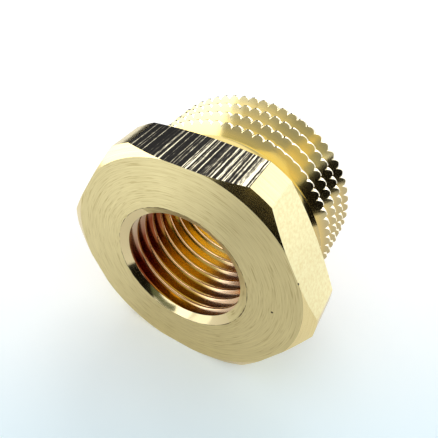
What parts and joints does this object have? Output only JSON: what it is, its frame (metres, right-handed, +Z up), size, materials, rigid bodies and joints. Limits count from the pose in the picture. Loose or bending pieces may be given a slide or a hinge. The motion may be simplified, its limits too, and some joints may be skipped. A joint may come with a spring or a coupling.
{
  "type": "reducer bushing",
  "caption": "Hexagon-head reducer bushing lying on a flat of its head, with an outside pipe thread, a relief groove and a threaded through bore.",
  "frame": {"origin": "on the ground, under the middle of the bushing's box, with one flat of the head on the ground", "axes": "+Y along the bushing's axis from the head's front face to the threaded end, +Z up, +X across two corners of the hexagon"},
  "size_m": [0.0242, 0.015, 0.022],
  "materials": {
    "brass": "machined, with turning and drawing lines"
  },
  "bodies": {
    "root": {"bushing": "brass"}
  },
  "joints": []
}
